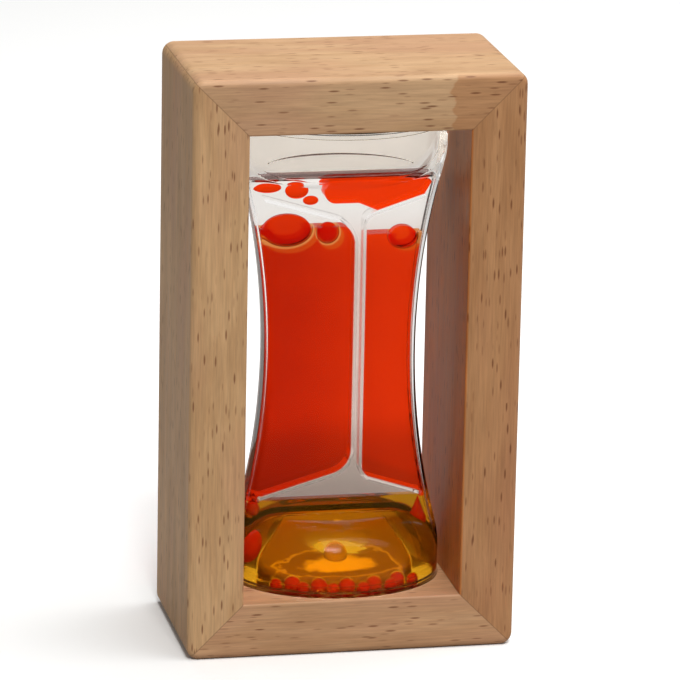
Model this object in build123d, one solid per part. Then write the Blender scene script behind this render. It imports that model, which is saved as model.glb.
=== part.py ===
from build123d import *
import os
from math import asin, atan, cos, radians, sin, sqrt, tan

# Liquid motion timer: a clear vessel of coloured liquids held in a mitred beech frame.
# Millimetres. The origin is the bottom centre of the frame, +X right, +Y to the back, +Z up.

# Vessel: two oval cups joined by a thin waisted panel
vessel_width = 53.8
vessel_depth = 44.4
vessel_height = 123.75
wall = 1.4
cup_height = 18.2           # from the vessel's foot to the flat shoulder of a cup
shoulder_round = 12.0
panel_depth = 9.3
panel_edge_round = 2.2
panel_root = 10.5           # how far the panel runs on inside each cup
waist_width = 39.2
flare_round = 54.5          # radius of the outward curve that turns the waist into the cup
flare_margin = 0.5          # the side curve runs this far past the oval, so it fades out on it

# End caps, with a lip inside the shell, and the fill plug in its boss
cap_thickness = 2.0
lip_height = 1.5
lip_thickness = 1.0
cap_fit = 0.1
floor_ring_sides = 8.4      # floor left between lip and boss, at the sides
floor_ring_front = 6.7      # and in front, where the drops settle
boss_height = 2.0
boss_round = 1.2
plug_radius = 2.5
plug_head_radius = 3.8
plug_head_height = 0.9
plug_fit = 0.1
plug_rise = 0.6             # how far the plug's tip stands above the boss

# Dividers: two thin ribs that make the I-shaped channel
divider_thickness = 0.8
channel_width = 1.2
channel_x = 4.7
eave_rise = 4.75            # from a cup's shoulder to the dividers' ends
left_outlet = 2.2           # gap between a divider's end and the side wall
right_outlet = 1.2
left_roof_angle = 16.5
right_roof_angle = 18.0
left_rib_round = 6.5
right_rib_round = 3.0

# Liquids
liquid_gap = 0.15           # all round each liquid and drop
drop_film = 0.4             # clear film round a drop that floats on a pool
left_pool_drop = 11.8       # from the upper shoulder down to the surface of each red pool
right_pool_drop = 14.0

# Oil left in the mouth of the channel, with shares counted from the middle to the side wall
mouth_pool_drop = 1.4       # its flat top under the liquid's surface
mouth_pool_depth = 7.0
mouth_pool_left = 0.29
mouth_pool_belly = 0.15
mouth_pool_notch = 0.17
mouth_pool_tip = 0.37
mouth_pool_right = 0.97
mouth_pool_rounds = (2.6, 3.0, 2.0, 0, 0, 0.6)

# Drops: places in a side pocket are shares of its width, from the side wall to the column
large_drop_place = 0.29
large_drop_share = 0.255
large_drop_half_height = 4.0
large_drop_sink = 0.8       # its middle under the pool's surface
small_drop_place = 0.725
small_drop_radius = 2.6
small_drop_sink = 1.8
right_float_place = 0.33
right_float_share = 0.247
right_float_half_height = 2.8
right_float_sink = 1.2

# Drops in the mouth: share of the way to the left wall, drop below the surface, half length and half height
mouth_drops = ((0.486, 3.85, 3.0, 2.1), (0.795, 2.95, 3.4, 1.3), (0.335, 6.5, 2.0, 1.2))

# Falling drops
right_drop_radius = 2.3
right_drop_length = 6.4     # from the ball's centre to the drawn-out tip
right_drop_shift = 0.2      # outwards from the divider's end
left_drop_radius = 3.2
left_drop_room = 2.4        # from the side wall
left_drop_height = 5.95     # its middle above the floor
forming_radius = 1.4
forming_half_height = 1.8
forming_room = 0.35

# Settled drops: beads on the floor in two staggered rows
bead_count = 11
bead_first_angle = 222.0
bead_last_angle = 318.0
bead_sink = 20.0            # latitude, below the middle, at which a bead is flat
front_bead = (1.65, 2.0)    # radius, and room from the lip to the middle
back_bead = (2.1, 4.3)

# Frame: beech members round the vessel
member = 14.25
side_room = 1.1             # between vessel and stile
front_room = 1.55           # the vessel stands this far behind the frame's front and back
seat_depth = 1.2            # shallow oval seats in both rails
seat_fit = 0.25
seat_play = 0.15
corner_round = 3.1
edge_round = 1.8
inner_edge_round = 0.6
dowel_radius = 2.0
dowel_length = 10.0
dowel_spread = 24.0
dowel_fit = 0.05
dowel_end_room = 0.3
mitre_overrun = 4.0         # the mitre wedges run this far past the frame

# Sizes that follow
opening_width = vessel_width + 2 * side_room
opening_height = vessel_height + seat_play - 2 * seat_depth
frame_width = opening_width + 2 * member
frame_height = opening_height + 2 * member
frame_depth = vessel_depth + 2 * front_room
foot_z = member - seat_depth
head_z = foot_z + vessel_height
middle_z = (foot_z + head_z) / 2
floor_z = foot_z + cap_thickness
ceiling_z = head_z - cap_thickness
shoulder_z = foot_z + cup_height
upper_shoulder_z = head_z - cup_height
eave_z = shoulder_z + eave_rise
flare_height = vessel_height / 2 - cap_thickness
lip_inset = wall + cap_fit
floor_inset = lip_inset + lip_thickness
slot_half_depth = panel_depth / 2 - wall
fill = wall + liquid_gap    # inset of the liquids from the outside of the vessel
fill_half_depth = slot_half_depth - liquid_gap
amber_top = eave_z - fill
tent_bottom = amber_top + liquid_gap
left_pool_top = upper_shoulder_z - left_pool_drop
right_pool_top = upper_shoulder_z - right_pool_drop
mouth_level = upper_shoulder_z + wall - liquid_gap


def front_prism(face, half_depth):
    """A face drawn in X and Z, made solid equally far to the front and the back."""
    return extrude(Plane.XZ * face, amount=half_depth, both=True)


def slab(low, high):
    """Everything inside the vessel between two heights."""
    return Pos(0, 0, (low + high) / 2) * Box(2 * vessel_width, 2 * vessel_depth, high - low)


def oval_block(inset, low, high):
    """A straight block of the vessel's oval plan, drawn in by inset."""
    oval = Ellipse(vessel_width / 2 - inset, vessel_depth / 2 - inset)
    return extrude(Pos(0, 0, low) * oval, amount=high - low)


def other_end(z):
    """The height that mirrors z at the other end of the vessel."""
    return 2 * middle_z - z


def flipped(solid):
    """The same form at the other end of the vessel."""
    return mirror(solid, about=Plane.XY.offset(middle_z))


def without(solid, cuts):
    """A solid with each of several others cut away."""
    for cut in cuts:
        solid -= cut
    return solid


# The vessel's form, from which the shells, the cavity and the liquids are all cut


def side_arcs(inset):
    """Turn of the vessel's side from waist to cup, and radius of its hollow middle arc."""
    spread = vessel_width / 2 + flare_margin - waist_width / 2
    turn = 2 * atan(spread / flare_height)
    hollow_round = flare_height / sin(turn) - flare_round
    return turn, hollow_round + inset


def half_width(z, inset):
    """Half the width of the panel at height z."""
    hollow_round = side_arcs(inset)[1]
    above_waist = z - middle_z
    return waist_width / 2 - inset + hollow_round - sqrt(hollow_round**2 - above_waist**2)


def front_outline(inset):
    """The waisted front outline, longer than the vessel at both ends."""
    turn, hollow_round = side_arcs(inset)
    wide = vessel_width / 2 + flare_margin - inset
    narrow = waist_width / 2 - inset
    end = (wide, vessel_height)
    flare = (wide, flare_height)
    join = (narrow + hollow_round * (1 - cos(turn)), hollow_round * sin(turn))
    below = [(x, -z) for x, z in (join, flare, end)]
    right = Line(end, flare)
    right += TangentArc(flare, join, tangent=(0, -1))
    right += ThreePointArc(join, (narrow, 0), below[0])
    right += TangentArc(below[1], below[0], tangent=(0, 1))
    right += Line(below[1], below[2])
    left = mirror(right, about=Plane.YZ)
    caps = Line(end, (-wide, vessel_height)) + Line(below[2], (-wide, -vessel_height))
    return Pos(0, middle_z) * make_face(right + left + caps)


def cup_form(inset):
    """The lower cup with its rounded flat shoulder."""
    block = oval_block(inset, foot_z, shoulder_z - inset)
    rim = block.edges().sort_by(Axis.Z)[-1]
    return fillet(rim, radius=shoulder_round - inset)


def panel_form(inset):
    """The thin waisted panel, rooted in both cups, with rounded long edges."""
    height = upper_shoulder_z - shoulder_z + 2 * panel_root
    outline = front_outline(inset) & Pos(0, middle_z) * Rectangle(2 * vessel_width, height)
    block = front_prism(outline, panel_depth / 2 - inset)
    long_edges = block.edges().filter_by(GeomType.CIRCLE)
    return fillet(long_edges, radius=panel_edge_round - inset)


def vessel_form(inset):
    """The whole vessel, drawn in by inset all round."""
    cup = cup_form(inset)
    cups = (cup + flipped(cup)) & front_prism(front_outline(inset), vessel_depth)
    return cups + panel_form(inset)


def half_shell(side):
    """One of the two half mouldings, welded to the other on the middle plane."""
    hollow = vessel_form(wall) + oval_block(wall, foot_z, floor_z + lip_height)
    hollow += oval_block(wall, ceiling_z - lip_height, head_z)
    shell = vessel_form(0) & slab(floor_z, ceiling_z)
    half = Pos(0, side * vessel_depth, middle_z) * Box(2 * vessel_width, 2 * vessel_depth, vessel_height)
    return (shell - hollow) & half


# Caps and plug


def plain_cap():
    """A bottom end cap: an oval plate with a lip that sits inside the shell."""
    lip = oval_block(lip_inset, floor_z, floor_z + lip_height)
    lip -= oval_block(floor_inset, floor_z, floor_z + lip_height)
    return oval_block(0, foot_z, floor_z) + lip


def boss_form(grow):
    """The raised middle of the lower floor, which holds the plug."""
    half_across = vessel_width / 2 - floor_inset - floor_ring_sides
    half_deep = vessel_depth / 2 - floor_inset - floor_ring_front
    oval = Ellipse(half_across + grow, half_deep + grow)
    block = extrude(Pos(0, 0, floor_z) * oval, amount=boss_height + grow)
    return fillet(block.edges().sort_by(Axis.Z)[-1], radius=boss_round)


def plug_form(grow):
    """The fill plug: a flush head under the floor and a round-ended stem through it."""
    top = floor_z + boss_height + plug_rise + grow
    radius = plug_radius - plug_fit + grow
    head_radius = plug_head_radius - plug_fit + grow
    stem = Pos(0, 0, foot_z) * extrude(Circle(radius), amount=top - foot_z)
    stem = fillet(stem.edges().sort_by(Axis.Z)[-1], radius=plug_rise)
    head = Pos(0, 0, foot_z) * extrude(Circle(head_radius), amount=plug_head_height)
    return stem + head


def bottom_cap():
    """The lower cap, with its boss and the stepped hole for the plug."""
    hole = Pos(0, 0, foot_z) * extrude(Circle(plug_radius), amount=cup_height)
    counterbore = Pos(0, 0, foot_z) * extrude(Circle(plug_head_radius), amount=plug_head_height + plug_fit)
    return plain_cap() + boss_form(0) - hole - counterbore


# Dividers: each runs from its lower eave up the column to its upper eave


def rib_line(side, inset):
    """Eave, column foot, column head and upper eave of a divider's face, inset from its pocket side."""
    angle = radians(left_roof_angle if side < 0 else right_roof_angle)
    outlet = left_outlet if side < 0 else right_outlet
    eave_x = side * (half_width(eave_z, wall) - outlet)
    column_x = channel_x + side * (channel_width / 2 + divider_thickness - inset)
    sunk = inset / cos(angle)
    eave = (eave_x, eave_z - sunk)
    foot = (column_x, eave_z + abs(eave_x - column_x) * tan(angle) - sunk)
    upper = [(x, other_end(z)) for x, z in (foot, eave)]
    return [eave, foot, *upper]


def rib_round(side, inset):
    """Radius of a divider's bends, inset from its pocket side."""
    return (left_rib_round if side < 0 else right_rib_round) + inset


def rounded_face(points, radii, side=1):
    """A closed outline with rounded corners; the left side's is drawn the other way round."""
    return make_face(FilletPolyline(*points[::-side], radius=radii[::-side], close=True))


def rib_face(side, start, end):
    """The band between two insets of a divider."""
    points = [*rib_line(side, start), *rib_line(side, end)[::-1]]
    bend, inner_bend = rib_round(side, start), rib_round(side, end)
    return rounded_face(points, [0, bend, bend, 0, 0, inner_bend, inner_bend, 0], side)


def divider(side):
    """A thin rib across the full depth of the panel's slot."""
    return front_prism(rib_face(side, 0, divider_thickness), slot_half_depth)


def divider_room(side):
    """A divider and the liquid gap round it, the full depth of the vessel."""
    face = rib_face(side, -liquid_gap, divider_thickness + liquid_gap)
    ends = [Pos(x, z) * Circle(divider_thickness) for x, z in rib_line(side, divider_thickness / 2)[::3]]
    return front_prism(face + ends, vessel_depth)


# Drops; each form can be grown to cut the room for it


def ellipsoid(half_length, half_across, axis):
    """An egg-shaped drop that is round about the given axis."""
    outline = EllipticalCenterArc((0, 0), half_across, half_length, start_angle=-90, arc_size=180)
    outline += Line((0, half_length), (0, -half_length))
    upright = Rot(90, 0, 0) * revolve(make_face(outline), axis=Axis.Y)
    return Rot(0, 90, 0) * upright if axis == Axis.X else upright


def bead(radius):
    """A drop that has settled: a ball cut flat underneath."""
    return Sphere(radius, arc_size1=-bead_sink, align=(Align.CENTER, Align.CENTER, Align.MIN))


def pancake(half_across, half_height, grow):
    """A large drop squeezed flat between the panel's walls."""
    block = front_prism(Ellipse(half_across + grow, half_height + grow), fill_half_depth)
    return fillet(block.edges(), radius=min(0.8 * fill_half_depth, 0.6 * half_height))


def teardrop(radius, height):
    """A hanging drop: a ball with a cone drawn up to a point, height above the ball's centre."""
    reach = asin(radius / height)
    shoulder = (radius * cos(reach), radius * sin(reach))
    outline = Line((0, height), (0, -radius))
    outline += ThreePointArc((0, -radius), (radius, 0), shoulder)
    outline += Line(shoulder, (0, height))
    return Rot(90, 0, 0) * revolve(make_face(outline), axis=Axis.Y)


def pocket_place(side, level, share):
    """X in a side pocket at a level, a share of the way from the side wall to the column, and the pocket's width."""
    wall_x = side * half_width(level, wall)
    column_x = rib_line(side, -liquid_gap)[1][0]
    return wall_x + (column_x - wall_x) * share, abs(column_x - wall_x)


def left_floating(grow):
    """One large squeezed drop and a small round one on the left pool."""
    large_x, width = pocket_place(-1, left_pool_top, large_drop_place)
    small_x = pocket_place(-1, left_pool_top, small_drop_place)[0]
    large = pancake(large_drop_share * width, large_drop_half_height, grow)
    return [
        Pos(large_x, 0, left_pool_top - large_drop_sink) * large,
        Pos(small_x, 0, left_pool_top - small_drop_sink) * Sphere(small_drop_radius + grow),
    ]


def right_floating(grow):
    """A smaller squeezed drop on the right pool."""
    x, width = pocket_place(1, right_pool_top, right_float_place)
    drop = pancake(right_float_share * width, right_float_half_height, grow)
    return [Pos(x, 0, right_pool_top - right_float_sink) * drop]


def upper_left(grow):
    """Small drops in the mouth of the channel, left of the oil that waits there."""
    drops = []
    for share, sink, half_length, half_height in mouth_drops:
        place = Pos(-share * half_width(mouth_level, wall), 0, mouth_level - sink)
        drops.append(place * ellipsoid(half_length + grow, half_height + grow, Axis.X))
    return drops


def settled(grow):
    """Beads of oil on the front of the lower floor, in two staggered rows inside the cap's lip."""
    beads = []
    step = (bead_last_angle - bead_first_angle) / (bead_count - 1)
    for index in range(bead_count):
        angle = radians(bead_first_angle + step * index)
        radius, room = back_bead if index % 2 else front_bead
        x = (vessel_width / 2 - floor_inset - room) * cos(angle)
        y = (vessel_depth / 2 - floor_inset - room) * sin(angle)
        beads.append(Pos(x, y, floor_z) * bead(radius + grow))
    return beads


def right_falling(grow):
    """The drop that has just left the right outlet, still drawn out to a point."""
    x = half_width(eave_z, wall) - right_outlet + right_drop_shift
    z = amber_top - right_drop_length - 2 * liquid_gap
    return Pos(x, 0, z) * teardrop(right_drop_radius + grow, right_drop_length + 2 * grow)


def left_falling(grow):
    """The round drop that sinks at the left."""
    x = vessel_width / 2 - wall - left_drop_room - left_drop_radius
    return Pos(-x, 0, floor_z + left_drop_height) * Sphere(left_drop_radius + grow)


def left_forming(grow):
    """The next drop, swelling under the left outlet."""
    z = amber_top - 2 * liquid_gap - forming_half_height
    x = half_width(z, fill) - forming_room - forming_radius
    return Pos(-x, 0, z) * ellipsoid(forming_half_height + grow, forming_radius + grow, Axis.Z)


# Liquids


def pocket(side, low, high):
    """Part of a side pocket between two heights, clear of its divider, from eave to eave at most."""
    line = rib_line(side, -liquid_gap)
    edge_x = line[0][0] + side * liquid_gap
    far_x = side * vessel_width
    ends = tent_bottom, other_end(tent_bottom)
    bend = rib_round(side, -liquid_gap)
    points = [(edge_x, ends[0]), (edge_x, line[0][1]), line[1], line[2], (edge_x, line[3][1]), (edge_x, ends[1])]
    points += [(far_x, ends[1]), (far_x, ends[0])]
    region = rounded_face(points, [0, 0, bend, bend, 0, 0, 0, 0], side)
    return front_prism(region, fill_half_depth) & vessel_form(fill) & slab(low, high)


def channel(low, high):
    """Part of the channel between the dividers, from below the lower eaves to above the upper ones at most."""
    inset = divider_thickness + liquid_gap
    left, right = rib_line(-1, inset), rib_line(1, inset)
    ends = amber_top, other_end(amber_top)
    points = [(left[0][0], ends[0]), *left, (left[3][0], ends[1])]
    points += [(right[3][0], ends[1]), *right[::-1], (right[0][0], ends[0])]
    left_bend, right_bend = rib_round(-1, inset), rib_round(1, inset)
    region = rounded_face(points, [0, 0, left_bend, left_bend, 0, 0, 0, 0, right_bend, right_bend, 0, 0])
    return front_prism(region, fill_half_depth) & slab(low, high)


def side_pool(side):
    """Red oil in a side pocket, round the drops that float on it."""
    level = left_pool_top if side < 0 else right_pool_top
    drops = left_floating(drop_film) if side < 0 else right_floating(drop_film)
    return without(pocket(side, tent_bottom, level), [divider_room(side), *drops])


def clear_pocket(side):
    """Clear liquid in a side pocket, from the oil's surface up to the pocket's inlet."""
    level = left_pool_top if side < 0 else right_pool_top
    drops = left_floating(drop_film) if side < 0 else right_floating(drop_film)
    return without(pocket(side, level + liquid_gap, head_z), [divider_room(side), *drops])


def mouth_pool(grow):
    """Red oil left in the mouth of the channel: flat on top, a rounded belly, and a wedge on the right divider."""
    reach = half_width(mouth_level, fill)
    _, _, head, eave = rib_line(1, divider_thickness + liquid_gap)
    top = mouth_level - mouth_pool_drop
    low = mouth_level - mouth_pool_depth
    slope = (eave[1] - head[1]) / (eave[0] - head[0])
    tip_x = mouth_pool_tip * reach
    edge_x = eave[0] - 2 * liquid_gap
    on_rib = [(x, head[1] + slope * (x - head[0])) for x in (tip_x, edge_x)]
    points = [(-mouth_pool_left * reach, top), (-mouth_pool_belly * reach, low), (mouth_pool_notch * reach, low)]
    points += [*on_rib, (mouth_pool_right * reach, top)]
    face = rounded_face(points, list(mouth_pool_rounds))
    if grow:
        face = offset(face, grow)
    return front_prism(face, fill_half_depth + grow) & vessel_form(fill - grow)


def clear_mouth():
    """Clear liquid in the upper mouth of the channel, up to its free surface at the upper cup's floor."""
    strip_low = other_end(amber_top)
    strip = vessel_form(fill) & slab(strip_low, mouth_level)
    funnel = channel(middle_z + liquid_gap, head_z)
    rooms = [divider_room(-1), divider_room(1), mouth_pool(liquid_gap), *upper_left(liquid_gap)]
    return without(strip + funnel, rooms)


def amber():
    """The amber liquid that fills the lower cup round the falling and settled drops."""
    lip_bore = oval_block(floor_inset + liquid_gap, floor_z, floor_z + 2 * lip_height)
    above_lip = slab(floor_z + lip_height + liquid_gap, amber_top)
    liquid = vessel_form(fill) & slab(floor_z + liquid_gap, amber_top) & (lip_bore + above_lip)
    rooms = [boss_form(liquid_gap), plug_form(liquid_gap), *settled(liquid_gap)]
    rooms += [drop(liquid_gap) for drop in (right_falling, left_falling, left_forming)]
    return without(liquid, rooms)


# Frame


def dowels(radius, length):
    """A pair of dowels square across each mitre."""
    pegs = []
    for side in (-1, 1):
        for end in (-1, 1):
            x = side * (frame_width - member) / 2
            z = frame_height / 2 + end * (frame_height - member) / 2
            for y in (-dowel_spread / 2, dowel_spread / 2):
                pegs.append(Pos(x, y, z) * Rot(0, -45 * side * end, 0) * Cylinder(radius, length))
    return pegs


def frame_block():
    """The whole frame in one piece: rounded outside, with its opening, oval seats and dowel holes."""
    centre = Pos(0, 0, frame_height / 2)
    block = centre * Box(frame_width, frame_depth, frame_height)
    block = fillet(block.edges().filter_by(Axis.Y), radius=corner_round)
    broad_faces = block.faces().sort_by(Axis.Y)
    block = fillet(broad_faces[0].edges() + broad_faces[-1].edges(), radius=edge_round)
    block -= centre * Box(opening_width, frame_depth, opening_height)
    rims = []
    for face in (block.faces().sort_by(Axis.Y)[0], block.faces().sort_by(Axis.Y)[-1]):
        rims += face.inner_wires()[0].edges()
    block = fillet(rims, radius=inner_edge_round)
    seats = oval_block(-seat_fit, foot_z, head_z + seat_play)
    return without(block, [seats, *dowels(dowel_radius + dowel_fit, dowel_length + 2 * dowel_end_room)])


def mitre_wedge(half_length, half_across):
    """The wedge that holds one member, drawn for the member at the bottom of a frame of this size."""
    inner = member + mitre_overrun
    low = -half_across - mitre_overrun
    points = [
        (-half_length - mitre_overrun, low),
        (half_length + mitre_overrun, low),
        (half_length - inner, inner - half_across),
        (inner - half_length, inner - half_across),
    ]
    return make_face(Polyline(*points, close=True))


def frame_members():
    """The four members, cut from the frame along the mitres."""
    block = frame_block()
    half_w, half_h = frame_width / 2, frame_height / 2
    rail, stile = mitre_wedge(half_w, half_h), mitre_wedge(half_h, half_w)
    turned = {
        "bottom_rail": rail,
        "top_rail": Rot(0, 0, 180) * rail,
        "left_stile": Rot(0, 0, -90) * stile,
        "right_stile": Rot(0, 0, 90) * stile,
    }
    return {name: block & front_prism(Pos(0, half_h) * wedge, frame_depth) for name, wedge in turned.items()}


def pieces():
    """Every node of the timer by name."""
    nodes = frame_members()
    nodes["mitre_dowels"] = Compound(dowels(dowel_radius, dowel_length))
    nodes["front_shell"] = half_shell(-1)
    nodes["rear_shell"] = half_shell(1)
    nodes["top_cap"] = flipped(plain_cap())
    nodes["bottom_cap"] = bottom_cap()
    nodes["fill_plug"] = plug_form(0)
    nodes["left_divider"] = divider(-1)
    nodes["right_divider"] = divider(1)
    nodes["clear_liquid_mouth"] = clear_mouth()
    nodes["clear_liquid_left"] = clear_pocket(-1)
    nodes["clear_liquid_right"] = clear_pocket(1)
    nodes["clear_liquid_channel"] = channel(tent_bottom, middle_z)
    nodes["amber_liquid"] = amber()
    nodes["mouth_red_pool"] = mouth_pool(0)
    nodes["left_red_pool"] = side_pool(-1)
    nodes["right_red_pool"] = side_pool(1)
    nodes["mouth_drops"] = Compound(upper_left(0))
    nodes["left_floating_drops"] = Compound(left_floating(0))
    nodes["right_floating_drop"] = Compound(right_floating(0))
    nodes["settled_drops"] = Compound(settled(0))
    nodes["left_forming_drop"] = left_forming(0)
    nodes["right_falling_drop"] = right_falling(0)
    nodes["left_falling_drop"] = left_falling(0)
    return nodes


os.makedirs("parts", exist_ok=True)
for name, shape in pieces().items():
    export_step(shape, f"parts/{name}.step")
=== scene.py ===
"""Looks, light and camera for the liquid motion timer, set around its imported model."""
from math import atan, atan2, cos, hypot, pi, radians, sin, sqrt

import bmesh
import bpy
from mathutils import Matrix, Vector

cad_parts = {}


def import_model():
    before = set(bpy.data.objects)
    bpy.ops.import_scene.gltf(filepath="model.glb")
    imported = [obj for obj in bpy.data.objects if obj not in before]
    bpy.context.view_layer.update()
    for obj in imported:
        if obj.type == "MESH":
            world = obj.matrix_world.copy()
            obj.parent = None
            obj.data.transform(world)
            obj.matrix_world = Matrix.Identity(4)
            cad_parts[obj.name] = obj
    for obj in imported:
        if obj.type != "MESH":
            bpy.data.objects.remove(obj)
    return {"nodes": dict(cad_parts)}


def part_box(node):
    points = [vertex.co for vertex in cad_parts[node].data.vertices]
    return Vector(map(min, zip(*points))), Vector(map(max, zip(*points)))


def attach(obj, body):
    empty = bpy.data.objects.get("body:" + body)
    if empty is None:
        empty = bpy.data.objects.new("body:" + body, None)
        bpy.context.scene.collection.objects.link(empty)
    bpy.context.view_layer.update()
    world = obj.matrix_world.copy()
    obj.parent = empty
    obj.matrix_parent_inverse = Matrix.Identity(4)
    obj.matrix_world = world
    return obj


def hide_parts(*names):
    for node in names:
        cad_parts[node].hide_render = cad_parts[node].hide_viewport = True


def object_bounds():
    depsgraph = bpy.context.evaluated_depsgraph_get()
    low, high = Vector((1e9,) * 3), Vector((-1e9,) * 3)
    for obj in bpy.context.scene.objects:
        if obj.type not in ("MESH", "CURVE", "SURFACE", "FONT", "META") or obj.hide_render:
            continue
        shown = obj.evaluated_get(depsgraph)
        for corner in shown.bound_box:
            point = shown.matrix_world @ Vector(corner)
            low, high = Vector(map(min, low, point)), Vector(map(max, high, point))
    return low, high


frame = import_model()
nodes = frame["nodes"]
cad_low, cad_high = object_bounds()

# Sizes are in millimetres, as in the part's source; a mesh is scaled to metres when it is made.
MM = 0.001

# The vessel, measured on its caps and shells
cap_low, cap_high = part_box("bottom_cap")
vessel_half_width = cap_high.x / MM
vessel_half_depth = cap_high.y / MM
foot_z = cap_low.z / MM
head_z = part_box("top_cap")[1].z / MM
floor_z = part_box("front_shell")[0].z / MM
boss_top = cap_high.z / MM
middle_z = (foot_z + head_z) / 2

# The vessel's other sizes, as in the part's source
wall = 1.4
cup_height = 18.2
shoulder_round = 12.0
panel_half_depth = 4.65
panel_edge_round = 2.2
waist_half_width = 19.6
flare_round = 54.5
flare_margin = 0.5
boss_half_width = 16.0
boss_half_depth = 13.0
shoulder_z = foot_z + cup_height
dome_z = shoulder_z - shoulder_round
upper_shoulder_z = head_z - cup_height

# Clear liquid, whose surface stands in the mouth of the slot
wall_clearance = 0.03       # keeps the shell's inner wall off the dividers
wetting = 0.1               # how far the clear liquid reaches into the plastic round it
below_cup_floor = 0.4       # how far the surface stands under the floor of the upper cup
mouth_z = upper_shoulder_z + wall - below_cup_floor

# How far light bends at each kind of surface: the refractive index behind it over the one before it
air_to_plastic = 1.49
air_to_liquid = 1.35
plastic_to_liquid = 0.905
liquid_to_plastic = 1.105
liquid_to_oil = 1.06
liquid_to_amber = 1.03


# Meshes


def add_piece(name, data, materials):
    """Puts a mesh into the scene as a piece that rides on the timer."""
    data.materials.clear()
    for material in materials:
        data.materials.append(material)
    piece = bpy.data.objects.new(name, data)
    bpy.context.scene.collection.objects.link(piece)
    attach(piece, "timer")
    return piece


def mesh_piece(name, vertices, faces, materials):
    """A smooth piece from vertices in millimetres."""
    data = bpy.data.meshes.new(name)
    data.from_pydata([Vector(vertex) * MM for vertex in vertices], [], faces)
    data.shade_smooth()
    data.update()
    return add_piece(name, data, materials)


def loft(rings, closed):
    """Quads between equal rings of points; an open loft gets a face at each end."""
    count = len(rings[0])
    vertices = [point for ring in rings for point in ring]
    faces = []
    bands = len(rings) if closed else len(rings) - 1
    for band in range(bands):
        start = band * count
        above = (band + 1) % len(rings) * count
        for k in range(count):
            following = (k + 1) % count
            faces.append((start + k, start + following, above + following, above + k))
    if not closed:
        faces.append(tuple(reversed(range(count))))
        faces.append(tuple(range(len(vertices) - count, len(vertices))))
    return vertices, faces


# The vessel's form: level rings of the oval cups and the thin panel, seen from the middle axis

ring_points = 320
spread_ratio = 0.36         # spaces the directions between those of the oval and those of the panel
side_ease = 0.9             # rounding where a cup's oval is cut by the waisted outline
root_ease = 2.4             # rounding where the dome of a cup runs into the panel
root_round = 0.3            # rounding where the panel rises from the flat of the shoulder
least_edge_round = 0.2
wall_rings = 8
dome_rings = 40
plateau_rings = 8
root_rings = 6
panel_rings = 44


def ring_directions():
    """The directions from the axis to the points of every ring."""
    turns = [2 * pi * (k + 0.5) / ring_points for k in range(ring_points)]
    angles = [atan2(spread_ratio * sin(turn), cos(turn)) for turn in turns]
    return [(cos(angle), sin(angle)) for angle in angles]


directions = ring_directions()


def side_half_width(z, inset):
    """Half the width of the waisted outline at height z."""
    spread = vessel_half_width + flare_margin - waist_half_width
    flare_height = (head_z - foot_z) / 2 - (floor_z - foot_z)
    turn = 2 * atan(spread / flare_height)
    hollow_round = flare_height / sin(turn) - flare_round
    above_waist = abs(z - middle_z)
    if above_waist < hollow_round * sin(turn):
        arc = hollow_round + inset
        return waist_half_width - inset + arc - sqrt(arc**2 - above_waist**2)
    arc = flare_round - inset
    down = max(0.0, flare_height - above_waist)
    return vessel_half_width + flare_margin - inset - arc + sqrt(max(0.0, arc**2 - down**2))


def blend(a, b, width):
    """How much two meeting distances are eased into each other."""
    return max(0.0, width - abs(a - b)) ** 2 / (4 * width)


def oval_reach(direction, z, inset):
    """From the axis to the wall of the lower cup, which is domed above dome_z."""
    dome = shoulder_round - inset
    rise = min(1.0, max(0.0, (z - dome_z) / dome))
    drawn_in = inset + dome * (1 - sqrt(1 - rise**2))
    half_width = vessel_half_width - drawn_in
    half_depth = vessel_half_depth - drawn_in
    return 1 / hypot(direction[0] / half_width, direction[1] / half_depth)


def panel_reach(direction, z, inset, swell=0.0):
    """From the axis to the wall of the thin panel with its rounded long edges; swell adds to its depth."""
    c, s = abs(direction[0]), abs(direction[1])
    edge = max(least_edge_round, panel_edge_round - inset)
    half_width = side_half_width(z, inset)
    half_depth = panel_half_depth - inset + swell
    core_x, core_y = half_width - edge, half_depth - edge
    if half_depth / s * c <= core_x:
        return half_depth / s
    if half_width / c * s <= core_y:
        return half_width / c
    along = c * core_x + s * core_y
    return along + sqrt(max(0.0, along**2 - core_x**2 - core_y**2 + edge**2))


def cup_ring(z, inset):
    """A level ring of the lower cup with the panel that is rooted in it."""
    ring = []
    limit = side_half_width(z, inset)
    for direction in directions:
        side = limit / abs(direction[0])
        upright = oval_reach(direction, dome_z, inset)
        reach = min(upright, side) - blend(upright, side, side_ease)
        if z > dome_z:
            cup = oval_reach(direction, z, inset)
            panel = panel_reach(direction, z, inset)
            reach = min(reach, max(cup, panel) + blend(cup, panel, root_ease))
        ring.append((reach * direction[0], reach * direction[1], z))
    return ring


def panel_ring(z, inset, swell=0.0, bound=None):
    """A level ring of the thin panel alone, swollen no further than the bounding ring."""
    reaches = [panel_reach(direction, z, inset, swell) for direction in directions]
    if bound:
        reaches = [min(reach, hypot(x, y)) for reach, (x, y, _) in zip(reaches, bound)]
    return [(reach * c, reach * s, z) for reach, (c, s) in zip(reaches, directions)]


def mixed(ring, other, share):
    """A ring part of the way from one to another."""
    return [tuple(a + (b - a) * share for a, b in zip(p, q)) for p, q in zip(ring, other)]


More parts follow.
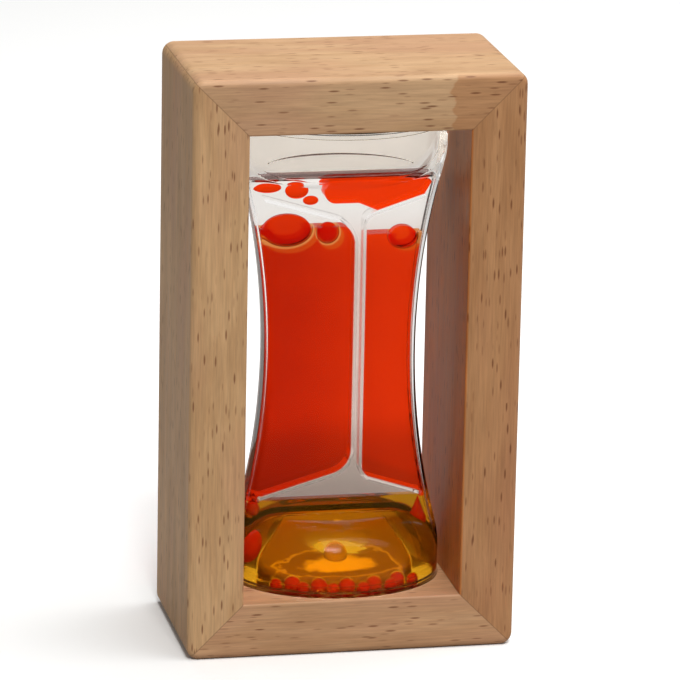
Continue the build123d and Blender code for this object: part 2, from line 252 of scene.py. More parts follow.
def lower_half(inset, start_z):
    """Rings of the vessel's lower half, from start_z up to the waist, drawn in by inset."""
    rings = [cup_ring(start_z + (dome_z - start_z) * k / wall_rings, inset) for k in range(wall_rings)]
    for k in range(dome_rings + 1):
        rings.append(cup_ring(dome_z + (shoulder_round - inset) * sin(pi / 2 * k / dome_rings), inset))
    root_z = shoulder_z - inset
    rim = rings[-1]
    root = panel_ring(root_z, inset, root_round, rim)
    rings += [mixed(rim, root, k / plateau_rings) for k in range(1, plateau_rings + 1)]
    for k in range(1, root_rings + 1):
        angle = pi / 2 * k / root_rings
        swell = root_round * (1 - sin(angle))
        rings.append(panel_ring(root_z + root_round * (1 - cos(angle)), inset, swell, rim))
    panel_z = root_z + root_round
    for k in range(1, panel_rings + 1):
        rings.append(panel_ring(panel_z + (middle_z - panel_z) * k / panel_rings, inset))
    return rings


def whole_height(inset, start_z):
    """Rings from start_z to the same level at the other end."""
    low = lower_half(inset, start_z)
    high = [[(x, y, 2 * middle_z - z) for x, y, z in ring] for ring in low[-2::-1]]
    return low + high


# Shader helpers


def new_material(name):
    """A material with one Principled shader; gives the material, its tree and the shader."""
    material = bpy.data.materials.new(name)
    material.use_nodes = True
    tree = material.node_tree
    return material, tree, tree.nodes["Principled BSDF"]


def add(tree, kind, **settings):
    """A shader node with its settings."""
    node = tree.nodes.new(kind)
    for key, value in settings.items():
        setattr(node, key, value)
    return node


def feed(tree, socket, source):
    """Sets a socket to a constant, or links an output to it."""
    if isinstance(source, bpy.types.NodeSocket):
        tree.links.new(source, socket)
    else:
        socket.default_value = source


def fill(tree, node, values):
    """Feeds several inputs of a node by their names."""
    for label, value in values.items():
        feed(tree, node.inputs[label], value)


def maths(tree, operation, *values):
    """The result of a sum on values or constants."""
    node = add(tree, "ShaderNodeMath", operation=operation)
    for socket, value in zip(node.inputs, values):
        feed(tree, socket, value)
    return node.outputs[0]


def vector_maths(tree, operation, first, second):
    """The result of a sum on two vectors."""
    node = add(tree, "ShaderNodeVectorMath", operation=operation)
    feed(tree, node.inputs[0], first)
    feed(tree, node.inputs[1], second)
    return node.outputs["Vector"]


def axes(tree, vector):
    """The three values of a vector, named X, Y and Z."""
    node = add(tree, "ShaderNodeSeparateXYZ")
    feed(tree, node.inputs[0], vector)
    return node.outputs


def noise(tree, place, scale, detail, roughness=0.5, distortion=0.0):
    """Soft noise with its own scale along each axis."""
    node = add(tree, "ShaderNodeTexNoise")
    fill(tree, node, {
        "Vector": vector_maths(tree, "MULTIPLY", place, scale),
        "Scale": 1.0,
        "Detail": detail,
        "Roughness": roughness,
        "Distortion": distortion,
    })
    return node.outputs[0]


def remap(tree, value, low, high, new_low=0.0, new_high=1.0, smooth=False):
    """A value from one range to another, held at its ends."""
    node = add(tree, "ShaderNodeMapRange", interpolation_type="SMOOTHSTEP" if smooth else "LINEAR")
    for socket, source in zip(node.inputs, (value, low, high, new_low, new_high)):
        feed(tree, socket, source)
    return node.outputs["Result"]


def mix_colour(tree, share, first, second, mode="MIX"):
    """Two colours mixed by a share."""
    node = add(tree, "ShaderNodeMix", data_type="RGBA", blend_type=mode)
    feed(tree, node.inputs[0], share)
    feed(tree, node.inputs[6], first)
    feed(tree, node.inputs[7], second)
    return node.outputs[2]


def oval_square(tree, values, middle, half_sizes):
    """The squared distance from the middle of an oval: one on its outline."""
    squares = []
    for value, centre, half_size in zip(values, middle, half_sizes):
        share = maths(tree, "DIVIDE", maths(tree, "SUBTRACT", value, centre), half_size)
        squares.append(maths(tree, "MULTIPLY", share, share))
    return maths(tree, "ADD", *squares)


def new_group(name, inputs, outputs):
    """A shader node group with named sockets; gives the tree, its inputs by name and its output node."""
    tree = bpy.data.node_groups.new(name, "ShaderNodeTree")
    for label, kind in inputs.items():
        tree.interface.new_socket(label, in_out="INPUT", socket_type=kind)
    for label, kind in outputs.items():
        tree.interface.new_socket(label, in_out="OUTPUT", socket_type=kind)
    entry = add(tree, "NodeGroupInput")
    return tree, entry.outputs, add(tree, "NodeGroupOutput").inputs


def use_group(tree, group, **values):
    """A group's outputs for the values given to it."""
    node = add(tree, "ShaderNodeGroup", node_tree=group)
    fill(tree, node, values)
    return node.outputs


def place_mm(tree):
    """The place on the object in millimetres."""
    coordinates = add(tree, "ShaderNodeTexCoord")
    return vector_maths(tree, "MULTIPLY", coordinates.outputs["Object"], (1 / MM,) * 3)


def bump(tree, height, strength, distance):
    """A normal for a surface with slight relief, distance in millimetres."""
    node = add(tree, "ShaderNodeBump")
    fill(tree, node, {"Strength": strength, "Distance": distance * MM, "Height": height})
    return node.outputs["Normal"]


# Clear plastics and liquids

lamp_white = (1, 1, 1)
lamp_red = (0.8, 0.1, 0.02)
cloud_detail = 2.0
noise_low, noise_high = 0.3, 0.7    # nearly all noise lies between these


def flow_group():
    """Faint flow marks of a moulded or liquid surface: a height, and a mask of slight haze."""
    mark_scale = (0.12, 0.12, 0.05)
    haze_from, haze_to = 0.45, 0.75
    sockets = {"Height": "NodeSocketFloat", "Haze": "NodeSocketFloat"}
    tree, given, result = new_group("flow_marks", {"Place": "NodeSocketVector"}, sockets)
    marks = noise(tree, given["Place"], mark_scale, cloud_detail)
    feed(tree, result["Height"], marks)
    feed(tree, result["Haze"], remap(tree, marks, haze_from, haze_to))
    return tree


flow_marks = flow_group()


def lit_through(tree, shader, tint, from_behind=False):
    """Lets lamps shine through a clear material, tinted; from_behind makes its back see-through as well."""
    path = add(tree, "ShaderNodeLightPath")
    passed = path.outputs["Is Shadow Ray"]
    if from_behind:
        passed = maths(tree, "MAXIMUM", passed, add(tree, "ShaderNodeNewGeometry").outputs["Backfacing"])
    clear = add(tree, "ShaderNodeBsdfTransparent")
    feed(tree, clear.inputs["Color"], (*tint, 1))
    mix = add(tree, "ShaderNodeMixShader")
    feed(tree, mix.inputs["Fac"], passed)
    feed(tree, mix.inputs[1], shader.outputs["BSDF"])
    feed(tree, mix.inputs[2], clear.outputs["BSDF"])
    feed(tree, tree.nodes["Material Output"].inputs["Surface"], mix.outputs["Shader"])


def clear_material(name, colour, ior, lamp_tint, haze=0.0, gleam=1.0, ripple=0.0, see_through=1.0):
    """A see-through material of one colour, with faint flow marks."""
    material, tree, shader = new_material(name)
    marks = use_group(tree, flow_marks, Place=place_mm(tree))
    fill(tree, shader, {
        "Base Color": (*colour, 1),
        "Roughness": maths(tree, "MULTIPLY", marks["Haze"], haze),
        "IOR": ior,
        "Transmission Weight": see_through,
        "Specular Tint": (gleam, gleam, gleam, 1),
    })
    if ripple:
        feed(tree, shader.inputs["Normal"], bump(tree, marks["Height"], 1.0, ripple))
    lit_through(tree, shader, lamp_tint)
    return material


# Middles and half sizes, across and up, of the floating drops, each with its painted pale highlight rim
floating_ovals = (
    ((-13.6, 105.0), (7.2, 4.7)),
    ((-2.9, 104.2), (3.3, 3.3)),
    ((16.6, 103.4), (4.3, 3.5)),
)


def oil_material(name, left_colour, right_colour, rim_highlights=False):
    """Red oil with its own colour at the left and right; the rim option adds painted pale highlights round
    the floating drops.
    """
    half_spread = 16.0
    cloud_scale = (0.08, 0.08, 0.08)
    cloudiness = 0.12
    rim_highlight_colour = (0.9, 0.36, 0.1, 1)
    rim_from, rim_to = 0.92, 1.06
    material, tree, shader = new_material(name)
    place = place_mm(tree)
    split = axes(tree, place)
    across = remap(tree, split["X"], -half_spread, half_spread, smooth=True)
    cloud = noise(tree, place, cloud_scale, cloud_detail)
    clouded = remap(tree, cloud, noise_low, noise_high, -cloudiness, cloudiness)
    share = maths(tree, "ADD", across, clouded)
    colour = mix_colour(tree, share, (*left_colour, 1), (*right_colour, 1))
    if rim_highlights:
        # Painted highlights: a pale rim round each floating drop.
        for middle, half_sizes in floating_ovals:
            square = oval_square(tree, (split["X"], split["Z"]), middle, half_sizes)
            inside = remap(tree, square, rim_from, rim_to, 1.0, 0.0, smooth=True)
            colour = mix_colour(tree, inside, colour, rim_highlight_colour)
    fill(tree, shader, {
        "Base Color": colour,
        "Roughness": 0.0,
        "IOR": liquid_to_oil,
        "Transmission Weight": 1.0,
        "Specular Tint": (0.3, 0.3, 0.3, 1),
    })
    lit_through(tree, shader, lamp_red)
    return material


def liquid_material():
    """The clear liquid against its walls: paler towards the top, and greyer under the dividers' roof, where
    the shade is painted.
    """
    tinted = (0.74, 0.58, 0.53, 1)
    paler_top = (0.95, 0.93, 0.91, 1)
    painted_shade_grey = (0.66, 0.55, 0.49, 1)
    paler_from_z, paler_to_z = 96.0, 112.0
    grey_from_z, grey_to_z = 34.0, 35.5
    ridge_x = 4.6
    ridge_z = 46.5
    roof_slope = 0.42
    roof_from, roof_to = -0.5, 1.0
    material, tree, shader = new_material("clear_liquid_wall")
    place = axes(tree, place_mm(tree))
    risen = remap(tree, place["Z"], paler_from_z, paler_to_z, smooth=True)
    aside = maths(tree, "ABSOLUTE", maths(tree, "SUBTRACT", place["X"], ridge_x))
    roof = maths(tree, "SUBTRACT", ridge_z, maths(tree, "MULTIPLY", aside, roof_slope))
    below = remap(tree, maths(tree, "SUBTRACT", roof, place["Z"]), roof_from, roof_to, smooth=True)
    # Painted shade: the liquid under the dividers' roof is made greyer, standing in for the shade there.
    painted_roof_shade = maths(tree, "MULTIPLY", below, remap(tree, place["Z"], grey_from_z, grey_to_z))
    fill(tree, shader, {
        "Base Color": mix_colour(tree, painted_roof_shade, mix_colour(tree, risen, tinted, paler_top), painted_shade_grey),
        "Roughness": 0.0,
        "IOR": plastic_to_liquid,
        "Transmission Weight": 1.0,
        "Specular Tint": (0.4, 0.4, 0.4, 1),
    })
    lit_through(tree, shader, lamp_white)
    return material


def misty_glow_material():
    """The rear of the upper cup: misty plastic with a painted glow that stands in for the light falling in
    from above.
    """
    duller = (0.9, 0.87, 0.82, 1)
    paler = (0.96, 0.93, 0.88, 1)
    material, tree, shader = new_material("clear_plastic_misty_painted_glow")
    marks = use_group(tree, flow_marks, Place=place_mm(tree))
    fill(tree, shader, {
        "Base Color": mix_colour(tree, marks["Haze"], duller, paler),
        "Roughness": 0.3,
        "IOR": 1.05,
        "Transmission Weight": 0.35,
        # Painted light: this emission is a glow, not a lamp, brightening the rear wall that the top rail
        # keeps in shade.
        "Emission Color": (1, 0.95, 0.88, 1),
        "Emission Strength": 0.24,
    })
    lit_through(tree, shader, (0.95, 0.95, 0.95))
    return material


def boss_painted_light_material():
    """The wetted boss of the lower cap, dark, with a painted pale pool of light where light gathers through
    the amber, and a painted highlight ring round it.
    """
    eye_middle = (0.0, -3.6)
    eye_half_sizes = (9.0, 4.4)
    eye_from, eye_to = 0.65, 1.0
    ring_out = 1.5
    ring_from, ring_to = 0.02, 0.1
    ring_strength = 0.5
    wander_scale = (0.35, 0.35, 0.35)
    wandering = 0.15
    dark = (0.24, 0.14, 0.05, 1)
    painted_light_colour = (0.95, 0.9, 0.75, 1)
    material, tree, shader = new_material("clear_plastic_boss_painted_light")
    place = place_mm(tree)
    split = axes(tree, place)
    square = oval_square(tree, (split["X"], split["Y"]), eye_middle, eye_half_sizes)
    uneven = noise(tree, place, wander_scale, cloud_detail)
    wander = remap(tree, uneven, noise_low, noise_high, -wandering, wandering)
    out = maths(tree, "ADD", maths(tree, "SQRT", square), wander)
    # Painted light: a pale pool of light in the middle and a highlight ring round it, drawn into the base
    # colour.
    painted_light_pool = remap(tree, out, eye_from, eye_to, 1.0, 0.0, smooth=True)
    off_ring = maths(tree, "ABSOLUTE", maths(tree, "SUBTRACT", out, ring_out))
    ring = remap(tree, off_ring, ring_from, ring_to, ring_strength, 0.0, smooth=True)
    fill(tree, shader, {
        "Base Color": mix_colour(tree, maths(tree, "MAXIMUM", painted_light_pool, ring), dark, painted_light_colour),
        "Roughness": 0.4,
        "IOR": liquid_to_plastic,
        "Transmission Weight": 0.2,
    })
    lit_through(tree, shader, (0.8, 0.8, 0.8), from_behind=True)
    return material


def drop_material(name, colour, see_through):
    """Oil in a small drop: deep red, partly clouded."""
    darkening = 0.8
    cloud_scale = (0.5, 0.5, 0.5)
    material, tree, shader = new_material(name)
    cloud = noise(tree, place_mm(tree), cloud_scale, cloud_detail)
    darker = tuple(darkening * part for part in colour)
    fill(tree, shader, {
        "Base Color": mix_colour(tree, cloud, (*darker, 1), (*colour, 1)),
        "Roughness": 0.05,
        "IOR": liquid_to_oil,
        "Transmission Weight": see_through,
    })
    lit_through(tree, shader, lamp_red)
    return material


plastic = clear_material(
    "clear_plastic_dry", (0.97, 0.972, 0.968), air_to_plastic, (0.9, 0.9, 0.9),
    haze=0.02, gleam=0.12, ripple=0.004)
thin_plastic = clear_material(
    "clear_plastic_thin", (0.98, 0.98, 0.98), ior=1.006, lamp_tint=(0.95, 0.95, 0.95), gleam=0.4)
wet_plastic = clear_material("clear_plastic_wet", (1, 1, 1), ior=1.0, lamp_tint=lamp_white)
misty_glow_plastic = misty_glow_material()
boss_plastic = boss_painted_light_material()
divider_plastic = clear_material(
    "divider_plastic", (0.97, 0.97, 0.97), liquid_to_plastic, (0.95, 0.95, 0.95), haze=0.02)
plug_plastic = clear_material(
    "plug_plastic", (0.75, 0.6, 0.4), liquid_to_plastic, (0.8, 0.8, 0.75), haze=0.3, see_through=0.6)
liquid_wall = liquid_material()
# Painted shade: the liquid's surface is tinted dark brown, standing in for the shade it reflects from the
# top rail.
liquid_top_painted_dark = clear_material("clear_liquid_top_painted_dark", (0.15, 0.085, 0.08), air_to_liquid, lamp_white, gleam=0.4)
amber = clear_material(
    "amber_liquid", (0.96, 0.56, 0.02), liquid_to_amber, (0.97, 0.88, 0.5), gleam=0.4, see_through=0.97)
oil = oil_material("red_oil", (0.72, 0.024, 0.0006), (0.99, 0.05, 0.001), rim_highlights=True)
mouth_oil = oil_material("red_oil_mouth", (1, 0.042, 0.001), (1, 0.045, 0.001))
float_oil = oil_material("red_oil_floating", (0.8, 0.032, 0.001), (0.98, 0.055, 0.001))
drop_oil = drop_material("red_oil_drop", (0.62, 0.004, 0.003), see_through=0.4)


def set_material(name, material):
    """Gives a CAD node its finish."""
    data = nodes[name].data
    data.materials.clear()
    data.materials.append(material)


# Clear shell and liquids

edge_rise = 11.0            # how far the finish of the panel's edges runs up the sides of the upper cup
edge_margin = 0.2
meniscus_rings = 12
meniscus_depth = 0.95       # how far the surface in the slot's mouth dips between its walls
meniscus_end = 0.95         # how near to the middle of the slot its rings come
meniscus_power = 2.5
meniscus_narrowing = 0.06
shade_line_z = 121.2              # height of a painted dark line on the rear of the upper cup, which stands in for shade


def clear_shell():
    """One hollow shell lofted from level rings, in place of both half mouldings."""
    outside = whole_height(0, floor_z)
    inside = whole_height(wall - wall_clearance, floor_z)
    vertices, faces = loft(outside + inside[::-1], closed=True)
    finish = [plastic, wet_plastic, thin_plastic, misty_glow_plastic]
    piece = mesh_piece("clear_shell", vertices, faces, finish)
    first_inside = len(outside) * ring_points
    plateau_half_width = vessel_half_width - shoulder_round
    edge_half_depth = panel_half_depth + edge_margin
    edge_top_z = upper_shoulder_z + edge_rise
    for polygon in piece.data.polygons:
        inner = min(polygon.vertices) >= first_inside
        x, y, z = polygon.center / MM
        if inner:
            below_cup = z < mouth_z
        else:
            in_edge = abs(y) < edge_half_depth and abs(x) > plateau_half_width and z < edge_top_z
            below_cup = in_edge or z < upper_shoulder_z - root_round
        if below_cup:
            polygon.material_index = finish.index(wet_plastic if inner else plastic)
        else:
            polygon.material_index = finish.index(thin_plastic if y < 0 else misty_glow_plastic)
    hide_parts("front_shell", "rear_shell")


def boss_ring(share, z):
    """A level ring of the oval boss in the lower floor."""
    reaches = [share / hypot(c / boss_half_width, s / boss_half_depth) for c, s in directions]
    return [(reach * c, reach * s, z) for reach, (c, s) in zip(reaches, directions)]


def clear_liquid():
    """All the clear liquid in one body, round the dividers, the oil and the amber."""
    flat_shares = (0.1, 0.5, 0.93)
    edge_share = 0.99
    edge_drop = 0.8
    bed = floor_z - wetting
    rings = [ring for ring in whole_height(wall - wetting, bed) if ring[0][2] < mouth_z]
    boss_foot = boss_ring(1.0, bed)
    base = [boss_ring(share, boss_top - wetting) for share in flat_shares]
    base += [boss_ring(edge_share, boss_top - edge_drop), boss_foot, mixed(boss_foot, rings[0], 0.5)]
    top = []
    for k in range(meniscus_rings + 1):
        inward = meniscus_end * k / meniscus_rings
        level = mouth_z - meniscus_depth * (1 - (1 - inward) ** meniscus_power)
        narrowed = 1 - meniscus_narrowing * inward
        top.append([(x * narrowed, y * (1 - inward), level) for x, y, _ in rings[-1]])
    vertices, faces = loft(base + rings + top, closed=False)
    piece = mesh_piece("clear_liquid", vertices, faces, [liquid_wall, liquid_top_painted_dark])
    first_top = (len(base) + len(rings)) * ring_points
    for polygon in piece.data.polygons:
        polygon.material_index = int(min(polygon.vertices) >= first_top)
    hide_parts(*(f"clear_liquid_{place}" for place in ("mouth", "left", "right", "channel")))


def painted_shade_line():
    """A dark line round the rear of the upper cup's floor: painted shade, standing in for the dark band of
    shade in the liquid's surface.
    """
    sides = 8
    steps = 72
    start_angle = 8
    sweep = 152
    end_size = 0.12
    swelling = 0.16
    skew = 1.5
    off_wall = 0.2
    low_z = 2 * middle_z - shade_line_z
    rings = []
    for k in range(steps + 1):
        angle = radians(start_angle + sweep * k / steps)
        direction = (cos(angle), sin(angle))
        size = end_size + swelling * sin(pi * (k / steps) ** skew)
        reach = oval_reach(direction, low_z, wall) - size - off_wall
        ring = []
        for j in range(sides):
            turn = 2 * pi * j / sides
            out = reach + size * cos(turn)
            ring.append((out * direction[0], out * direction[1], shade_line_z + size * sin(turn)))
        rings.append(ring)
    vertices, faces = loft(rings, closed=False)
    mesh_piece("painted_shade_line", vertices, faces, [liquid_top_painted_dark])


def joined_to(start):
    """All the vertices that edges join to one."""
    found = {start}
    waiting = [start]
    while waiting:
        vertex = waiting.pop()
        for edge in vertex.link_edges:
            other = edge.other_vert(vertex)
            if other not in found:
                found.add(other)
                waiting.append(other)
    return found


def amber_body():
    """The amber without the rooms of the falling drops, so that no hollow is left behind when they fall."""
    weld_distance = 0.002
    sharp_angle = 35
    body = bmesh.new()
    body.from_mesh(nodes["amber_liquid"].data)
    bmesh.ops.remove_doubles(body, verts=body.verts, dist=weld_distance * MM)
    for name in ("left_falling_drop", "right_falling_drop"):
        drop = nodes[name]
        point = drop.matrix_world @ drop.data.vertices[0].co
        room_vertex = min(body.verts, key=lambda vertex: (vertex.co - point).length)
        bmesh.ops.delete(body, geom=list(joined_to(room_vertex)), context="VERTS")
    data = bpy.data.meshes.new("amber_body")
    body.to_mesh(data)
    body.free()
    data.shade_smooth()
    data.set_sharp_from_angle(angle=radians(sharp_angle))
    piece = add_piece("amber_body", data, [amber])
    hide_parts("amber_liquid")


clear_shell()
clear_liquid()
painted_shade_line()
amber_body()


# Nodes that keep their own shape

finishes = {
    divider_plastic: ("left_divider", "right_divider"),
    plastic: ("top_cap", "bottom_cap"),
    plug_plastic: ("fill_plug",),
    oil: ("left_red_pool", "right_red_pool"),
    mouth_oil: ("mouth_red_pool", "mouth_drops"),
    float_oil: ("left_floating_drops", "right_floating_drop"),
    drop_oil: ("settled_drops", "left_forming_drop", "right_falling_drop", "left_falling_drop"),
}
for material, names in finishes.items():
    for name in names:
        set_material(name, material)


def wet_cap():
    """Wets the lower cap with the liquid on its floor, lip and boss; below it stays dry."""
    wet_share = 0.97
    boss_share = 0.75
    boss_rise = 0.2
    floor_margin = 0.01
    data = nodes["bottom_cap"].data
    data.materials.append(wet_plastic)
    data.materials.append(boss_plastic)
    for polygon in data.polygons:
        x, y, z = polygon.center / MM
        outward = hypot(x / vessel_half_width, y / vessel_half_depth)
        if outward < wet_share and z > floor_z - floor_margin:
            polygon.material_index = 2 if outward < boss_share and z > floor_z + boss_rise else 1


wet_cap()


# Beech


def wood_group():
    """Beech with soft figure, fine fibres and short dark flecks along the grain, which is X of Grain."""
    pale = (0.66, 0.43, 0.245, 1)
    deep = (0.54, 0.33, 0.175, 1)
    rosy = (0.58, 0.33, 0.2, 1)
    fleck_colour = (0.22, 0.092, 0.04, 1)
    figure_scale = (0.026, 0.15, 0.15)
    fibre_scale = (0.09, 1.9, 1.9)
    blush_scale = (0.02, 0.07, 0.07)
    cell_scale = (0.17, 1.0, 1.0)
    figure_from, figure_to = 0.32, 0.68
    blush_from, blush_to, most_blush = 0.45, 0.65, 0.6
    darkest_fibre, palest_fibre = 0.84, 1.1
    smoothest, roughest = 0.42, 0.58
    fleck_core, fleck_edge = 0.12, 0.32
    rare_from, rare_to, strongest_fleck = 0.2, 0.8, 0.85
    fleck_depth = 0.6
    sockets = {"Color": "NodeSocketColor", "Roughness": "NodeSocketFloat", "Height": "NodeSocketFloat"}
    tree, given, result = new_group("beech_figure", {"Grain": "NodeSocketVector"}, sockets)
    grain = given["Grain"]
    figure = noise(tree, grain, figure_scale, 4.0, roughness=0.55, distortion=0.6)
    fibre = noise(tree, grain, fibre_scale, 3.0, roughness=0.6)
    blush = noise(tree, grain, blush_scale, cloud_detail)
    banded = mix_colour(tree, remap(tree, figure, figure_from, figure_to, smooth=True), deep, pale)
    base = mix_colour(tree, remap(tree, blush, blush_from, blush_to, 0.0, most_blush), banded, rosy)
    fine = remap(tree, fibre, noise_low, noise_high, darkest_fibre, palest_fibre)
    toned = mix_colour(tree, 1.0, base, fine, "MULTIPLY")
    cells = add(tree, "ShaderNodeTexVoronoi", feature="F1")
    fill(tree, cells, {"Vector": vector_maths(tree, "MULTIPLY", grain, cell_scale), "Scale": 1.0})
    dash = remap(tree, cells.outputs["Distance"], fleck_core, fleck_edge, 1.0, 0.0, smooth=True)
    chance = add(tree, "ShaderNodeSeparateColor")
    feed(tree, chance.inputs[0], cells.outputs["Color"])
    shown = remap(tree, chance.outputs[0], rare_from, rare_to, 0.0, strongest_fleck)
    fleck = maths(tree, "MULTIPLY", dash, shown)
    feed(tree, result["Color"], mix_colour(tree, fleck, toned, fleck_colour))
    feed(tree, result["Roughness"], remap(tree, fibre, noise_low, noise_high, smoothest, roughest))
    feed(tree, result["Height"], maths(tree, "SUBTRACT", fibre, maths(tree, "MULTIPLY", fleck, fleck_depth)))
    return tree


def seam_group():
    """A mask of the thin dark line where two members meet on the mitre."""
    seam_core, seam_edge = 0.05, 0.28
    tree, given, result = new_group("mitre_seam", {"Place": "NodeSocketVector"}, {"Mask": "NodeSocketFloat"})
    place = axes(tree, given["Place"])
    half_width = cad_high.x / MM
    half_height = cad_high.z / MM / 2
    from_side = maths(tree, "SUBTRACT", half_width, maths(tree, "ABSOLUTE", place["X"]))
    level = maths(tree, "SUBTRACT", place["Z"], half_height)
    from_end = maths(tree, "SUBTRACT", half_height, maths(tree, "ABSOLUTE", level))
    off_mitre = maths(tree, "ABSOLUTE", maths(tree, "SUBTRACT", from_side, from_end))
    feed(tree, result["Mask"], remap(tree, off_mitre, seam_core, seam_edge, 1.0, 0.0, smooth=True))
    return tree


beech_figure = wood_group()
mitre_seam = seam_group()


def darker_end(tree, place):
    """A mask of the darker wood at the right end of a rail's front face, with an uneven edge."""
    start_x, full_x = 23.0, 23.8
    full_y, end_y = -23.4, -22.4
    edge_scale = (0.0, 0.0, 0.25)
    unevenness = 1.5
    split = axes(tree, place)
    uneven = noise(tree, place, edge_scale, cloud_detail)
    wander = remap(tree, uneven, noise_low, noise_high, -unevenness, unevenness)
    along = maths(tree, "ADD", split["X"], wander)
    ended = remap(tree, along, start_x, full_x, smooth=True)
    return maths(tree, "MULTIPLY", ended, remap(tree, split["Y"], full_y, end_y, 1.0, 0.0))


def painted_red_light_mask(tree, place):
    """A mask of the right stile's inner face, where painted red light stands in for the light through the
    oil and the amber.
    """
    full_depth, end_depth = 0.2, 0.6
    inner_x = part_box("right_stile")[0].x / MM
    full_x = inner_x + full_depth
    end_x = inner_x + end_depth
    return remap(tree, axes(tree, place)["X"], full_x, end_x, 1.0, 0.0, smooth=True)


def beech(name, along_x, shift, tone, dark_end=False, red_light_painted=False):
    """Oiled beech with the grain along X or Z; shift moves to another part of the figure."""
    end_tone = (0.84, 0.7, 0.6, 1)
    painted_red_light_tone = (1.15, 0.82, 0.5, 1)
    seam_colour = (0.16, 0.08, 0.035, 1)
    seam_strength = 0.45
    relief_strength = 0.5
    relief = 0.06
    material, tree, shader = new_material(name)
    place = place_mm(tree)
    grain = place
    if not along_x:
        split = axes(tree, place)
        turned = add(tree, "ShaderNodeCombineXYZ")
        for socket, axis in zip(turned.inputs, ("Z", "X", "Y")):
            feed(tree, socket, split[axis])
        grain = turned.outputs[0]
    wood = use_group(tree, beech_figure, Grain=vector_maths(tree, "ADD", grain, shift))
    seam = use_group(tree, mitre_seam, Place=place)["Mask"]
    toned = mix_colour(tree, 1.0, wood["Color"], (*tone, 1), "MULTIPLY")
    if dark_end:
        toned = mix_colour(tree, darker_end(tree, place), toned, end_tone, "MULTIPLY")
    # Painted light: the red and amber light through the liquids, tinted onto the right stile's inner face.
    if red_light_painted:
        toned = mix_colour(tree, painted_red_light_mask(tree, place), toned, painted_red_light_tone, "MULTIPLY")
    fill(tree, shader, {
        "Base Color": mix_colour(tree, maths(tree, "MULTIPLY", seam, seam_strength), toned, seam_colour),
        "Roughness": wood["Roughness"],
        "Specular IOR Level": 0.3,
        "Normal": bump(tree, wood["Height"], relief_strength, relief),
    })
    return material


set_material("top_rail", beech("beech_top_rail", True, (0, 40, 310), (0.92, 0.88, 0.83), dark_end=True))
set_material("bottom_rail", beech("beech_bottom_rail", True, (900, 140, 75), (0.93, 0.83, 0.77)))
set_material("left_stile", beech("beech_left_stile", False, (420, 260, 33), (1.0, 0.95, 0.84)))
set_material(
    "right_stile", beech("beech_right_stile", False, (1500, 77, 190), (0.78, 0.61, 0.47), red_light_painted=True))
set_material("mitre_dowels", beech("beech_dowel", True, (60, 500, 20), (1.08, 1.08, 1.08)))


# Floor, light and camera


def floor_piece():
    """A large pale floor, white to the camera and greyer through glass, that keeps the timer's shadow;
    through glass its near part also has a painted shadow.
    """
    size = 3000.0
    near_y, far_y = 150.0, 190.0
    straight = (1, 1, 0.99, 1)
    through_painted_shadow = (0.52, 0.5, 0.48, 1)
    through_far = (0.75, 0.73, 0.71, 1)
    lighting = (0.5, 0.48, 0.46, 1)
    corners = [(-size, -size, 0), (size, -size, 0), (size, size, 0), (-size, size, 0)]
    data = bpy.data.meshes.new("floor")
    data.from_pydata([Vector(corner) * MM for corner in corners], [], [(0, 1, 2, 3)])
    piece = bpy.data.objects.new("floor", data)
    bpy.context.scene.collection.objects.link(piece)
    material, tree, shader = new_material("floor")
    path = add(tree, "ShaderNodeLightPath")
    # Painted shadow: through glass, the floor up to about 150 to 190 mm behind the timer is darker, standing
    # in for the timer's shadow there.
    far = remap(tree, axes(tree, place_mm(tree))["Y"], near_y, far_y, smooth=True)
    through = mix_colour(tree, far, through_painted_shadow, through_far)
    dimmed = mix_colour(tree, path.outputs["Is Transmission Ray"], lighting, through)
    fill(tree, shader, {
        "Base Color": mix_colour(tree, path.outputs["Is Camera Ray"], dimmed, straight),
        "Roughness": 1.0,
        "Specular IOR Level": 0.0,
    })
    data.materials.append(material)


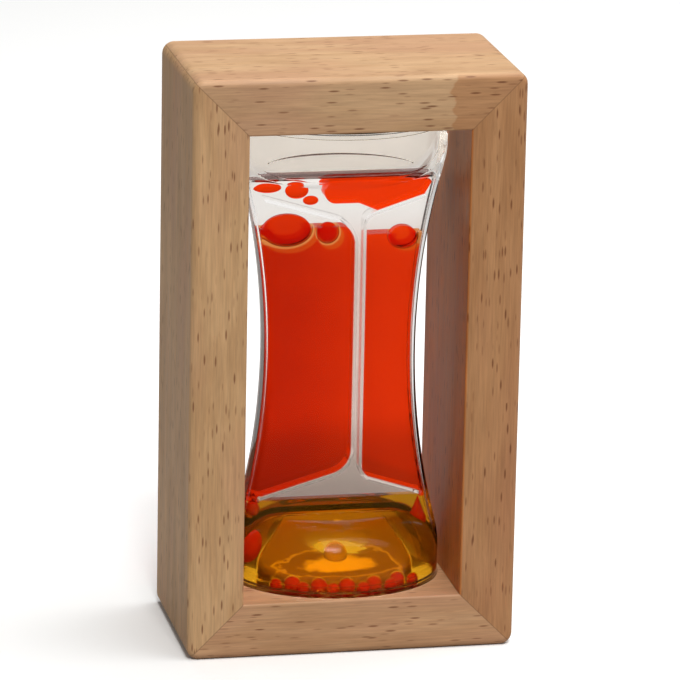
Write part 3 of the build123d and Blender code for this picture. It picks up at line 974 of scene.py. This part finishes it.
def sun(name, azimuth, elevation, strength, spread):
    """A sun; azimuth is counted from the front towards the right."""
    light = bpy.data.lights.new(name, "SUN")
    light.energy = strength
    light.angle = radians(spread)
    lamp = bpy.data.objects.new(name, light)
    a, e = radians(azimuth), radians(elevation)
    to_lamp = Vector((sin(a) * cos(e), -cos(a) * cos(e), sin(e)))
    lamp.rotation_euler = to_lamp.to_track_quat("Z", "Y").to_euler()
    bpy.context.scene.collection.objects.link(lamp)


def overhead(aside, height, size, power):
    """A large soft light above the timer, placed in metres."""
    light = bpy.data.lights.new("overhead", "AREA")
    light.energy = power
    light.size = size
    lamp = bpy.data.objects.new("overhead", light)
    lamp.location = (aside, 0, height)
    bpy.context.scene.collection.objects.link(lamp)


def world(strength):
    """Even light from all round; white where the camera sees it, straight or through clear plastic."""
    scene_world = bpy.data.worlds.new("studio")
    scene_world.use_nodes = True
    tree = scene_world.node_tree
    path = add(tree, "ShaderNodeLightPath")
    seen = maths(tree, "MAXIMUM", path.outputs["Is Camera Ray"], path.outputs["Is Transmission Ray"])
    fill(tree, tree.nodes["Background"], {
        "Color": (1, 1, 1, 1),
        "Strength": remap(tree, seen, 0.0, 1.0, strength, 1.0),
    })
    bpy.context.scene.world = scene_world


def camera():
    """The photograph's view, fitted to the frame's edges."""
    azimuth, elevation, roll = radians(-11.98), radians(15.94), radians(1.14)
    distance = 1282.4
    target = Vector((0.57, 0, 76.01))
    back = Vector((sin(azimuth) * cos(elevation), -cos(azimuth) * cos(elevation), sin(elevation)))
    right = (-back).cross(Vector((0, 0, 1))).normalized()
    up = right.cross(-back)
    across = cos(roll) * right + sin(roll) * up
    upward = cos(roll) * up - sin(roll) * right
    data = bpy.data.cameras.new("camera")
    data.sensor_width = 36
    data.lens = 266.67
    data.clip_end = 20
    view = bpy.data.objects.new("camera", data)
    place = (target + back * distance) * MM
    view.matrix_world = Matrix.Translation(place) @ Matrix((across, upward, back)).transposed().to_4x4()
    bpy.context.scene.collection.objects.link(view)
    bpy.context.scene.camera = view


floor_piece()
sun("key", azimuth=-4, elevation=54, strength=1.56, spread=14)
overhead(aside=0.4, height=0.9, size=1.0, power=9.5)
world(0.2)
camera()

# Enough bounces for light to pass all the walls, liquids and drops
bounces = 32
scene = bpy.context.scene
scene.view_settings.view_transform = "Standard"
scene.cycles.max_bounces = bounces
scene.cycles.transmission_bounces = bounces
scene.cycles.transparent_max_bounces = bounces
